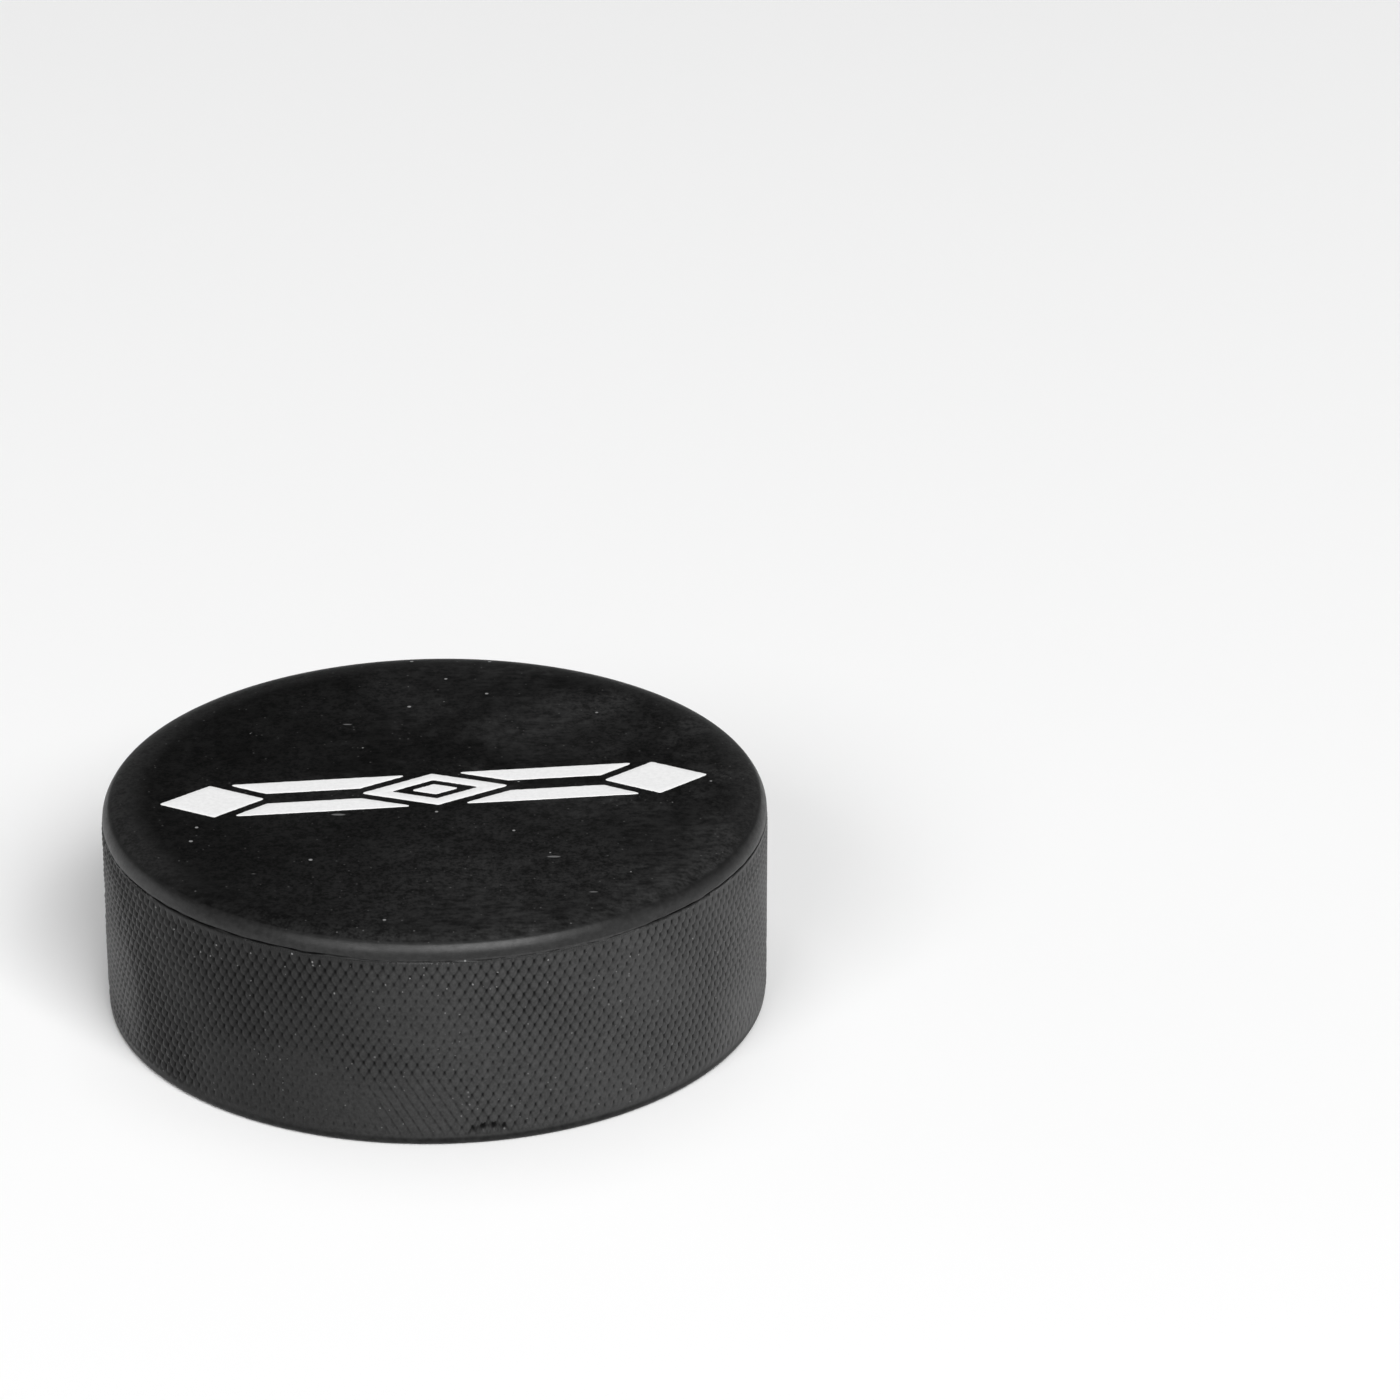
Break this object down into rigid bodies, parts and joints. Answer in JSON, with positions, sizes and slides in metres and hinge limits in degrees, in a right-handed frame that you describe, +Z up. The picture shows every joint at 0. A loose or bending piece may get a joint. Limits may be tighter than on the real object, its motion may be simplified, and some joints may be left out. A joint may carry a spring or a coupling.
{
  "type": "hockey puck",
  "caption": "Ice hockey puck: a solid black rubber disc with a knurled side wall, rounded edges and a plain white printed ornament on the upper face.",
  "frame": {"origin": "middle of the bottom face, the one that the puck rests on", "axes": "+Z up along the disc's axis, from the plain face to the printed face; the print reads along +X, turned 7.6 degrees anticlockwise"},
  "size_m": [0.0762, 0.0762, 0.0255],
  "materials": {
    "rubber": "black vulcanised rubber, satin on the moulded faces and knurled on the side",
    "print": "white screen-printing ink, matt"
  },
  "bodies": {
    "root": {"puck_body": "rubber", "ink_centre_frame": "print", "ink_centre_rhomb": "print", "ink_end_rhomb_left": "print", "ink_end_rhomb_right": "print", "ink_bar_lower_left": "print", "ink_bar_lower_right": "print", "ink_bar_upper_left": "print", "ink_bar_upper_right": "print"}
  },
  "joints": []
}
